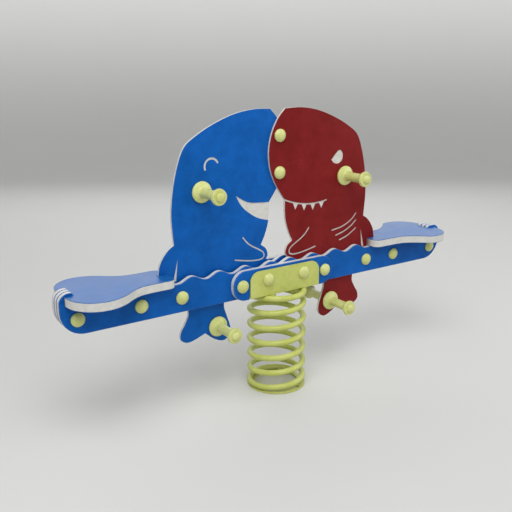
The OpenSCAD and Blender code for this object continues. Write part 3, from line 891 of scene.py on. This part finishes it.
def wire_tree() -> bpy.types.NodeTree:
    """Builds the tree that lays a round wire along a coil with closed end turns.

    Returns:
        The tree. Its angles are in degrees and its lengths in metres.
    """
    names = ("From", "To", "Low", "Pitch", "Rise From", "Rise Turn", "Ease", "Coil Radius", "Wire Radius")
    inputs = [(label, NUMBER, 0.0) for label in names]
    inputs += [("Steps", WHOLE, 64), ("Sides", WHOLE, 24), ("Finish", MATERIAL, None)]
    w, given, out = geometry_group("coiled_wire", inputs)
    line = w.add("GeometryNodeMeshLine", {"Count": given["Steps"]})
    place_in_line = w.add("GeometryNodeInputIndex").outputs[0]
    share = w.math("DIVIDE", place_in_line, w.minus(given["Steps"], 1.0))
    angle = w.plus(given["From"], w.times(share, w.minus(given["To"], given["From"])))

    def eased(turned: bpy.types.NodeSocket) -> bpy.types.NodeSocket:
        """Turn climbed after a start that eases in."""
        twice = w.times(given["Ease"], 2.0)
        inside = w.math("MINIMUM", w.larger(w.plus(turned, given["Ease"]), 0.0), twice)
        soft = w.math("DIVIDE", w.times(inside, inside), w.times(twice, 2.0))
        return w.plus(soft, w.larger(w.minus(turned, given["Ease"]), 0.0))

    since = w.minus(angle, given["Rise From"])
    climbed = w.minus(eased(since), eased(w.minus(since, given["Rise Turn"])))
    height = w.plus(given["Low"], w.times(climbed, w.math("DIVIDE", given["Pitch"], 360.0)))
    around = w.math("RADIANS", angle)
    x = w.times(given["Coil Radius"], w.math("COSINE", around))
    y = w.times(given["Coil Radius"], w.math("SINE", around))
    place = w.add("ShaderNodeCombineXYZ", {0: x, 1: y, 2: height}).outputs[0]
    laid = w.add("GeometryNodeSetPosition", {"Geometry": line.outputs[0], "Position": place})
    path = w.add("GeometryNodeMeshToCurve", {"Mesh": laid.outputs[0]})
    upright = w.add("GeometryNodeSetCurveNormal", {"Curve": path.outputs[0]}, mode="Z_UP")
    round_wire = {"Resolution": given["Sides"], "Radius": given["Wire Radius"]}
    ring = w.add("GeometryNodeCurvePrimitiveCircle", round_wire).outputs["Curve"]
    sweep = {"Curve": upright.outputs[0], "Profile Curve": ring, "Fill Caps": True}
    swept = w.add("GeometryNodeCurveToMesh", sweep)
    kept = w.add("GeometryNodeStoreNamedAttribute", {"Geometry": swept.outputs[0], "Name": "lay"})
    kept.data_type, kept.domain = "FLOAT_VECTOR", "POINT"
    w.feed(kept, "Value", w.add("GeometryNodeInputPosition").outputs[0])
    return close_tree(w, out, kept, given["Finish"])


def repeat_tree() -> bpy.types.NodeTree:
    """Builds the tree that sets one fitting on every point, turned as the point's turn attribute says."""
    inputs = [("Fitting", "NodeSocketObject", None), ("Finish", MATERIAL, None)]
    w, given, out = geometry_group("repeated_fitting", inputs)
    fitting = w.add("GeometryNodeObjectInfo", {"Object": given["Fitting"]}).outputs["Geometry"]
    turn = w.add("GeometryNodeInputNamedAttribute", {"Name": "turn"}, data_type="FLOAT_VECTOR")
    rotation = w.add("FunctionNodeEulerToRotation", {0: turn.outputs[0]}).outputs[0]
    placing = {"Points": given["Geometry"], "Instance": fitting, "Rotation": rotation}
    placed = w.add("GeometryNodeInstanceOnPoints", placing)
    return close_tree(w, out, placed, given["Finish"])


def bead_tree() -> bpy.types.NodeTree:
    """Builds the tree that lays overlapping ripples of weld metal along a line of edges."""
    inputs = [("Ripple", NUMBER, 2 * MM), ("Radius", NUMBER, 3 * MM), ("Seed", WHOLE, 7)]
    w, given, out = geometry_group("weld_bead", [*inputs, ("Finish", MATERIAL, None)])
    smallest, largest, flatness = 0.86, 1.0, 0.62
    path = w.add("GeometryNodeMeshToCurve", {"Mesh": given["Geometry"]}).outputs[0]
    spread = w.add("GeometryNodeCurveToPoints", {"Curve": path, "Length": given["Ripple"]}, mode="LENGTH")
    drop = {"Segments": 14, "Rings": 9, "Radius": given["Radius"]}
    ball = w.add("GeometryNodeMeshUVSphere", drop).outputs[0]
    limits = {"Seed": given["Seed"], 2: smallest, 3: largest}
    width = w.add("FunctionNodeRandomValue", limits, data_type="FLOAT").outputs[1]
    squash = w.add("ShaderNodeCombineXYZ", {0: width, 1: width, 2: flatness}).outputs[0]
    placing = {"Points": spread.outputs[0], "Instance": ball, "Scale": squash}
    placing["Rotation"] = spread.outputs["Rotation"]
    placed = w.add("GeometryNodeInstanceOnPoints", placing)
    return close_tree(w, out, placed, given["Finish"])


# ---- Boards and seats ----


@dataclass
class BoardWork:
    """The laminated boards: beam, cores, splice plates, packing, animals and seats."""

    effects: Effects
    blue: BoardFinish = BoardFinish("blue_board", linear(0, 77, 150), linear(11, 96, 184))
    seat_blue: BoardFinish = BoardFinish(
        "blue_seat", linear(8, 80, 146), linear(24, 97, 168), skin_roughness=0.36, specular=0.5
    )
    red: BoardFinish = BoardFinish("red_board", linear(110, 17, 17), linear(130, 29, 32))
    skin: float = 2.65 * MM
    figure_skin: float = 1.2 * MM
    seat_skin: float = 2.0 * MM
    rounding: float = 2.0 * MM
    figure_rounding: float = 0.9 * MM
    seat_rounding: float = 1.5 * MM
    hole_reach: float = 7.5 * MM
    face_slack: float = 0.02 * MM
    flat_facing: float = 0.9
    wall_facing: float = 0.3
    wall_reach: float = 1.4
    soft_degrees: float = 38.0
    beam_nodes: tuple[str, ...] = (
        "front_beam_board", "rear_beam_board", "left_end_core", "right_end_core", "whale_packing_board",
        "shark_packing_board", "front_splice_plate", "rear_splice_plate",
    )
    hole_nodes: tuple[str, ...] = (
        "board_bolts", "splice_bolts", "saddle_bolts", "head_bolts", "seat_angle_bolts", "seat_screws",
        "whale_hand_rod", "shark_hand_rod", "whale_foot_rod", "shark_foot_rod",
    )
    holes: list[Vector] = field(default_factory=list)

    def build(self) -> None:
        """Builds every board and seat."""
        self.holes = [(low + high) / 2 for node in self.hole_nodes for low, high in islands(node)]
        for node in self.beam_nodes:
            thin = "packing" in node
            self._board(
                node, self.blue, Slot.BLUE_BOARD, Stack.ACROSS,
                self.figure_skin if thin else self.skin, self.figure_rounding if thin else self.rounding,
            )
        figure = (Stack.ACROSS, self.figure_skin, self.figure_rounding)
        self._board("whale_board", self.blue, Slot.BLUE_BOARD, *figure)
        self._board("shark_board", self.red, Slot.RED_BOARD, *figure)
        for node in ("left_seat", "right_seat"):
            self._board(node, self.seat_blue, Slot.BLUE_BOARD, Stack.UP, self.seat_skin, self.seat_rounding)

    def _board(
        self, node: str, finish: BoardFinish, slot: Slot, stack: Stack, skin: float, rounding: float
    ) -> None:
        """Builds one board: its outer corners rounded, its cut edges showing the core.

        Args:
            node: CAD node of the board.
            finish: Its finish.
            slot: The record's finish that it takes. Not used.
            stack: Direction of its layers.
            skin: Thickness of each skin.
            rounding: Radius of its outer corners.
        """
        axis = 1 if stack is Stack.ACROSS else 2
        low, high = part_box(node)
        middle, half = (low[axis] + high[axis]) / 2, (high[axis] - low[axis]) / 2
        bm = merged_copy(node)
        round_edges(bm, self._outer_edges(bm, axis, middle, half), rounding)
        mesh = smooth_mesh(bm, f"{node}_laminate", self.soft_degrees)
        material = finish.material(self.effects, node, stack, middle, half, half - skin, rounding)
        add_piece(f"{node}_laminate", mesh, material, [node], Body.ROCKER)

    def _outer_edges(
        self, bm: bmesh.types.BMesh, axis: int, middle: float, half: float
    ) -> list[bmesh.types.BMEdge]:
        """Finds the edges where a face meets the board's cut side, leaving out holes and engraved lines.

        Args:
            bm: Mesh of the board.
            axis: 1 for layers across the beam, 2 for layers stacked upwards.
            middle: Place of the middle plane on that axis.
            half: Half of the board's thickness.

        Returns:
            The edges.
        """
        plane = [i for i in range(3) if i != axis]
        found = []
        for edge in bm.edges:
            if len(edge.link_faces) != 2:
                continue
            if any(abs(abs(v.co[axis] - middle) - half) > self.face_slack for v in edge.verts):
                continue
            facing = [abs(f.normal[axis]) for f in edge.link_faces]
            wall = edge.link_faces[facing.index(min(facing))]
            if max(facing) < self.flat_facing or min(facing) > self.wall_facing:
                continue
            reach = [v.co[axis] for v in wall.verts]
            if max(reach) - min(reach) < self.wall_reach * half:
                continue
            centre = (edge.verts[0].co + edge.verts[1].co) / 2
            if any(math.hypot(*(centre[i] - h[i] for i in plane)) < self.hole_reach for h in self.holes):
                continue
            found.append(edge)
        return found


# ---- Spring and steelwork ----


@dataclass
class SpringWork:
    """The coil spring, in two stretches, one above the other."""

    effects: Effects
    coat: CoatFinish = CoatFinish("lime_coil_coat")
    wire_start: float = 10.0
    rise_from: float = 192.0
    closed_turn: float = 215.0
    pitch: float = 54 * MM
    ease: float = 20.0
    wire_radius: float = 10 * MM
    coil_radius: float = 92.5 * MM
    joint_height: float = 103 * MM
    lower_bend: tuple[float, float] = (0.028, 0.092)
    upper_bend: tuple[float, float] = (0.114, 0.325)
    step_degrees: float = 5.0
    sides: int = 28
    cut_end_degrees: float = 50.0

    def build(self) -> None:
        """Lays the wire in two stretches that meet at the joint height."""
        low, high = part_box("coil_spring")
        bottom, top = low.z + self.wire_radius, high.z - self.wire_radius
        rise_turn = 360 * (top - bottom) / self.pitch
        meeting = self.rise_from + 360 * (self.joint_height - bottom) / self.pitch
        end = self.rise_from + rise_turn + self.closed_turn
        material = self.coat.material(self.effects, Skin.LAY)
        grower = Grower(wire_tree())
        stretches = (
            ("lower_coil_turns", self.wire_start, meeting, Body.ANCHOR, Body.SPRING, self.lower_bend),
            ("upper_coil_turns", meeting, end, Body.SPRING, Body.ROCKER, self.upper_bend),
        )
        for name, start, stop, below, above, bend in stretches:
            values = {
                "From": start, "To": stop, "Low": bottom, "Pitch": self.pitch, "Rise From": self.rise_from,
                "Rise Turn": rise_turn, "Ease": self.ease, "Coil Radius": self.coil_radius,
                "Wire Radius": self.wire_radius, "Steps": math.ceil((stop - start) / self.step_degrees) + 1,
                "Sides": self.sides, "Finish": material,
            }
            mesh = grower.grow(name, bpy.data.meshes.new(name + "_seed"), values)
            shade_smooth(mesh, self.cut_end_degrees)
            piece = add_piece(name, mesh, material, ["coil_spring"], None)
            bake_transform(piece)


@dataclass
class SteelWork:
    """Base ring, saddle, clamps and welds under one powder coat, and the plated fasteners."""

    effects: Effects
    coat: CoatFinish = CoatFinish("lime_steel_coat")
    zinc: ZincFinish = ZincFinish("zinc_plate")
    corner: float = 1.0 * MM
    sharp_degrees: float = 50.0
    soft_degrees: float = 38.0
    bead_radius: float = 3.3 * MM
    bead_arc_radius: float = 83.9 * MM
    bead_height: float = 9.3 * MM
    bead_ripple: float = 1.9 * MM
    bead_half_angle: float = 13.5
    bead_steps: int = 12
    plated: tuple[str, ...] = (
        "clamp_bolts", "left_seat_angles", "right_seat_angles", "seat_angle_bolts", "seat_angle_nuts",
        "seat_screws", "whale_hand_rod", "shark_hand_rod", "whale_foot_rod", "shark_foot_rod", "rod_nuts",
        "board_bolts", "splice_bolts", "saddle_bolts", "head_bolts", "bolt_nuts", "bolt_washers",
    )

    def build(self) -> None:
        """Builds the coated steel and plates the fasteners."""
        material = self.coat.material(self.effects, Skin.OBJECT)
        for node, body in (
            ("base_ring", Body.ANCHOR), ("saddle_bracket", Body.ROCKER), ("upper_spring_clamps", Body.ROCKER),
        ):
            self._coated(node, body, material)
        self._welds(material)
        plating = self.zinc.material(self.effects)
        for node in self.plated:
            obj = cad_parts[node]
            obj.data.materials.clear()
            obj.data.materials.append(plating)
            LOG.info("%s: CAD shape kept, zinc plated", node)

    def _coated(self, node: str, body: Body, material: bpy.types.Material) -> None:
        """Rounds a steel piece's corners as its coat does.

        Args:
            node: CAD node of the piece.
            body: Body that it rides on.
            material: Its coat.
        """
        bm = merged_copy(node)
        bend = math.radians(self.sharp_degrees)
        sharp = [e for e in bm.edges if len(e.link_faces) == 2 and e.calc_face_angle(0.0) > bend]
        round_edges(bm, sharp, self.corner)
        mesh = smooth_mesh(bm, f"{node}_coated", self.soft_degrees)
        add_piece(f"{node}_coated", mesh, material, [node], body)

    def _welds(self, material: bpy.types.Material) -> None:
        """Lays a rippled bead in place of each plain weld."""
        seed = bpy.data.meshes.new("weld_lines")
        radius, steps = self.bead_arc_radius, self.bead_steps
        points: list[tuple[float, float, float]] = []
        edges: list[tuple[int, int]] = []
        for low, high in islands("base_welds"):
            centre = (low + high) / 2
            middle = math.atan2(centre.y, centre.x)
            for i in range(steps + 1):
                angle = middle + math.radians(self.bead_half_angle) * (2 * i / steps - 1)
                if i:
                    edges.append((len(points) - 1, len(points)))
                points.append((radius * math.cos(angle), radius * math.sin(angle), self.bead_height))
        seed.from_pydata(points, edges, [])
        values = {"Ripple": self.bead_ripple, "Radius": self.bead_radius, "Finish": material}
        mesh = Grower(bead_tree()).grow("base_weld_beads", seed, values)
        shade_smooth(mesh, 180.0)
        add_piece("base_weld_beads", mesh, material, ["base_welds"], Body.ANCHOR)


# ---- Moulded plastic ----


@dataclass
class MouldedWork:
    """Dome caps, their bases, grips, pegs and end plugs."""

    effects: Effects
    finish: MouldedFinish = MouldedFinish("lime_moulding")
    cap_radius: float = 21 * MM
    cap_height: float = 15 * MM
    base_height: float = 3 * MM
    skirt: float = 2 * MM
    wall: float = 2 * MM
    skirt_wall: float = 2.5 * MM
    rim_radius: float = 18.3 * MM
    rim_height: float = 1.8 * MM
    bore_radius: float = 5.2 * MM
    grip_bore: float = 6.2 * MM
    grip_socket: float = 12.5 * MM
    grip_socket_depth: float = 14 * MM
    grip_length: float = 112 * MM
    grip_points: tuple[tuple[float, float], ...] = (
        (32, 0), (34, 4), (32.5, 9), (25, 13), (18, 17), (16, 26), (15.5, 48), (15.5, 68), (16.2, 86),
        (20, 95), (24.8, 100), (26, 105), (24, 112),
    )
    plug_radius: float = 14 * MM
    plug_height: float = 8 * MM
    plug_stem: float = 3 * MM
    fit_gap: float = 0.05 * MM
    edge_round: float = 0.4 * MM
    mould_line: float = 0.25 * MM
    soft_degrees: float = 40.0
    round_sides: int = 48

    def build(self) -> None:
        """Builds every moulded piece."""
        material = self.finish.material(self.effects)
        repeat = Grower(repeat_tree())
        dome = self._master("dome_cap_master", self._dome())
        base = self._master("cap_base_master", self._base())
        plug = self._master("plug_master", self._plug())
        for side in Side:
            end = side.name.lower()
            seats = [self._seat_of(box, side, 0.0) for box in islands(f"{end}_cap_bases")]
            for node, master in ((f"{end}_dome_caps", dome), (f"{end}_cap_bases", base)):
                self._repeat(repeat, f"{node}_moulded", node, master, seats, material)
        plugs = []
        for box in islands("grip_end_plugs"):
            side = Side.FRONT if box[0].y < 0 else Side.REAR
            plugs.append(self._seat_of(box, side, self.plug_stem))
        self._repeat(repeat, "grip_end_plugs_moulded", "grip_end_plugs", plug, plugs, material)
        for master in (dome, base, plug):
            bpy.data.objects.remove(master)
        for animal in ("whale", "shark"):
            for kind in ("hand_grip", "foot_peg"):
                for side in Side:
                    self._grip(f"{animal}_{side.name.lower()}_{kind}", side, material)

    @staticmethod
    def _seat_of(box: tuple[Vector, Vector], side: Side, stem: float) -> tuple[Vector, Side]:
        """Returns the point where a fitting sits on its face, from its box and the stem below that face."""
        low, high = box
        y = high.y - stem if side is Side.FRONT else low.y + stem
        return Vector(((low.x + high.x) / 2, y, (low.z + high.z) / 2)), side

    def _master(self, name: str, bm: bmesh.types.BMesh) -> bpy.types.Object:
        """Makes the object that a geometry tree repeats."""
        obj = bpy.data.objects.new(name, smooth_mesh(bm, name, self.soft_degrees))
        bpy.context.scene.collection.objects.link(obj)
        return obj

    def _repeat(
        self, repeat: Grower, name: str, node: str, master: bpy.types.Object,
        seats: Sequence[tuple[Vector, Side]], material: bpy.types.Material,
    ) -> None:
        """Sets copies of a fitting on the beam.

        Args:
            repeat: The tree that repeats a fitting.
            name: Name of the piece.
            node: CAD node that it stands for.
            master: The fitting, drawn along +Z.
            seats: Place and side of each copy.
            material: Its finish.
        """
        seed = bpy.data.meshes.new(name + "_seed")
        seed.from_pydata([p for p, _ in seats], [], [])
        turns = seed.attributes.new("turn", "FLOAT_VECTOR", "POINT")
        for i, (_, side) in enumerate(seats):
            turns.data[i].vector = (math.radians(-90 * side.value), 0.0, 0.0)
        mesh = repeat.grow(name, seed, {"Fitting": master, "Finish": material})
        add_piece(name, mesh, material, [node], Body.ROCKER)

    def _dome(self) -> bmesh.types.BMesh:
        """Draws the snap-on dome: an even shell with a softened skirt and a gate mark on top."""
        radius, height = self.cap_radius, self.cap_height
        foot = self.base_height + self.fit_gap
        rise = height - self.base_height - self.skirt
        ball = (radius**2 + rise**2) / (2 * rise)
        centre, shell, inner = height - ball, ball - self.wall, radius - self.skirt_wall
        lip, inner_lip = math.asin(radius / ball), math.asin(inner / shell)

        def arc(size: float, angle: float) -> tuple[float, float]:
            """Point of a ball's section, at an angle from the top."""
            return size * math.sin(angle), centre + size * math.cos(angle)

        outer = [arc(ball, lip * i / 16) for i in range(16, 3, -1)]
        inside = [arc(shell, inner_lip * i / 8) for i in range(1, 9)]
        gate = [(1.6 * MM, height - 0.05 * MM), (1.2 * MM, height - 0.4 * MM), (0.0, height - 0.45 * MM)]
        skirt = [(inner, foot), (radius - 0.5 * MM, foot), (radius - 0.15 * MM, foot + 0.15 * MM),
                 (radius, foot + 0.5 * MM)]
        return lathe([*skirt, *outer, *gate, (0.0, centre + shell), *inside], self.round_sides)

    def _base(self) -> bmesh.types.BMesh:
        """Draws the clamped half of a cap, with the rim that the dome snaps over."""
        radius, height, edge = self.cap_radius, self.base_height, self.edge_round
        top, rim_inside = height + self.rim_height, self.rim_radius - self.wall
        section = [(self.bore_radius, 0.0), (radius - edge, 0.0), (radius, edge), (radius, height - edge)]
        section += [(radius - edge, height), (self.rim_radius, height), (self.rim_radius, top)]
        section += [(rim_inside, top), (rim_inside, height), (self.bore_radius, height)]
        return lathe(section, self.round_sides)

    def _plug(self) -> bmesh.types.BMesh:
        """Draws the rounded plug that closes a grip."""
        stem, brim, sides = self.grip_socket - 0.1 * MM, 2 * MM, 40
        slopes = [math.radians(a) for a in range(0, 90, 9)]
        rise = self.plug_height - brim
        crown = [(self.plug_radius * math.cos(a), brim + rise * math.sin(a)) for a in slopes]
        section = [(0.0, -self.plug_stem), (stem, -self.plug_stem), (stem, self.fit_gap)]
        section += [(self.plug_radius, self.fit_gap), *crown, (0.0, self.plug_height)]
        return lathe(section, sides)

    def _grip(self, node: str, side: Side, material: bpy.types.Material) -> None:
        """Builds one grip or peg with its two mould lines.

        Args:
            node: CAD node of the grip.
            side: Face of the board that it stands on.
            material: Its finish.
        """
        low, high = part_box(node)
        y = high.y if side is Side.FRONT else low.y
        outline = curve_through([(r * MM, z * MM) for r, z in self.grip_points], 6)
        length, socket, lead, sides = self.grip_length, self.grip_socket, 0.6 * MM, 56
        floor = length - self.grip_socket_depth
        section = [(self.grip_bore, 0.0), (30.4 * MM, 0.0), *outline[1:-1], (23.8 * MM, length - lead / 2)]
        section += [(23.2 * MM, length), (socket + lead, length), (socket, length - lead)]
        section += [(socket, floor), (self.grip_bore, floor)]
        bm = lathe(section, sides, seam=self.mould_line)
        place = on_face((low.x + high.x) / 2, y, (low.z + high.z) / 2, side)
        bmesh.ops.transform(bm, matrix=place, verts=bm.verts[:])
        mesh = smooth_mesh(bm, f"{node}_moulded", self.soft_degrees)
        add_piece(f"{node}_moulded", mesh, material, [node], Body.ROCKER)


# ---- Studio ----


@dataclass
class Studio:
    """Floor, lights and camera."""

    camera_place: tuple[float, float, float] = (-1.377, -1.873, 1.117)
    camera_yaw: float = 34.57
    camera_pitch: float = 15.67
    floor_radius: float = 5.5
    sweep_radius: float = 2.5
    wall_height: float = 7.0
    floor_colour: Colour = linear(208, 208, 205)
    floor_shade: float = 0.97
    floor_patch: float = 0.6
    wall_glow: float = 0.36
    glow_colour: Colour = (1.0, 1.0, 0.99, 1.0)
    aim_height: float = 0.45
    sky_colour: Colour = (0.93, 0.95, 1.0, 1.0)
    sky_strength: float = 0.4

    def build(self) -> None:
        """Sets up the room round the object."""
        self._floor()
        self._lights()
        self._camera()

    def _floor(self) -> None:
        """Lays a pale floor that sweeps up into a round wall, with no corner between them."""
        sides, steps = 64, 12
        sweep = [math.radians(90 * i / steps) for i in range(steps + 1)]
        flat, bend = self.floor_radius, self.sweep_radius
        profile = [(flat + bend * math.sin(a), bend * (1 - math.cos(a))) for a in sweep]
        profile.append((flat + bend, self.wall_height))
        bm = bmesh.new()
        centre = bm.verts.new((0.0, 0.0, 0.0))
        turns = [math.tau * i / sides for i in range(sides)]
        rings = [[bm.verts.new((r * math.cos(a), r * math.sin(a), z)) for a in turns] for r, z in profile]
        for i in range(sides):
            j = (i + 1) % sides
            bm.faces.new((centre, rings[0][i], rings[0][j]))
            for one, two in zip(rings, rings[1:]):
                bm.faces.new((one[i], two[i], two[j], one[j]))
        for face in bm.faces:
            face.smooth = True
        mesh = bpy.data.meshes.new("studio_floor")
        bm.to_mesh(mesh)
        bm.free()
        material, w, shader = start_material("pale_floor")
        point = own_point(w)
        shade = (*(c * self.floor_shade for c in self.floor_colour[:3]), 1.0)
        tone = w.noise(point, self.floor_patch)
        w.feed(shader, "Base Color", w.blend(tone, self.floor_colour, shade))
        height = w.add("ShaderNodeSeparateXYZ", {0: point}).outputs["Z"]
        dark: Colour = (0.0, 0.0, 0.0, 1.0)
        glow = w.blend(w.ramp(height, 0.0, self.sweep_radius), dark, self.glow_colour)
        w.feed(shader, "Emission Color", glow)
        shader.inputs["Emission Strength"].default_value = self.wall_glow
        shader.inputs["Roughness"].default_value = 0.85
        mesh.materials.append(material)
        floor = bpy.data.objects.new("studio_floor", mesh)
        bpy.context.scene.collection.objects.link(floor)

    def _lights(self) -> None:
        """Hangs a broad soft light at the left, weaker ones at the right and behind, and a pale sky."""
        for name, place, width, height, power in (
            ("key_light", (-1.3, -1.5, 3.3), 2.4, 2.4, 84.0),
            ("fill_light", (2.6, -1.4, 1.8), 2.0, 2.0, 21.0),
            ("back_light", (1.8, 2.9, 2.0), 5.0, 2.2, 38.0),
        ):
            lamp = bpy.data.lights.new(name, "AREA")
            lamp.shape, lamp.size, lamp.size_y, lamp.energy = "RECTANGLE", width, height, power
            obj = bpy.data.objects.new(name, lamp)
            obj.location = place
            obj.rotation_mode = "QUATERNION"
            aim = Vector((0, 0, self.aim_height)) - Vector(place)
            obj.rotation_quaternion = aim.to_track_quat("-Z", "Y")
            bpy.context.scene.collection.objects.link(obj)
        world = bpy.data.worlds.new("pale_sky")
        world.use_nodes = True
        background = world.node_tree.nodes["Background"]
        background.inputs["Color"].default_value = self.sky_colour
        background.inputs["Strength"].default_value = self.sky_strength
        bpy.context.scene.world = world
        bpy.context.scene.view_settings.view_transform = "Standard"

    def _camera(self) -> None:
        """Stands the camera at the front left, a little above the heads."""
        yaw, pitch = math.radians(self.camera_yaw), math.radians(self.camera_pitch)
        forward = Vector((math.sin(yaw) * math.cos(pitch), math.cos(yaw) * math.cos(pitch), -math.sin(pitch)))
        lens = bpy.data.cameras.new("camera")
        lens.lens, lens.sensor_width = 50.0, 36.0
        camera = bpy.data.objects.new("camera", lens)
        camera.location = self.camera_place
        camera.rotation_mode = "QUATERNION"
        camera.rotation_quaternion = forward.to_track_quat("-Z", "Y")
        bpy.context.scene.collection.objects.link(camera)
        bpy.context.scene.camera = camera


def main() -> None:
    """Builds the looks round the CAD frame, one sub-assembly after another."""
    effects = Effects()
    for work in (
        BoardWork(effects), SpringWork(effects), SteelWork(effects), MouldedWork(effects), Studio(),
    ):
        work.build()
        LOG.info("%s done", type(work).__name__)


if __name__ == "__main__":
    main()
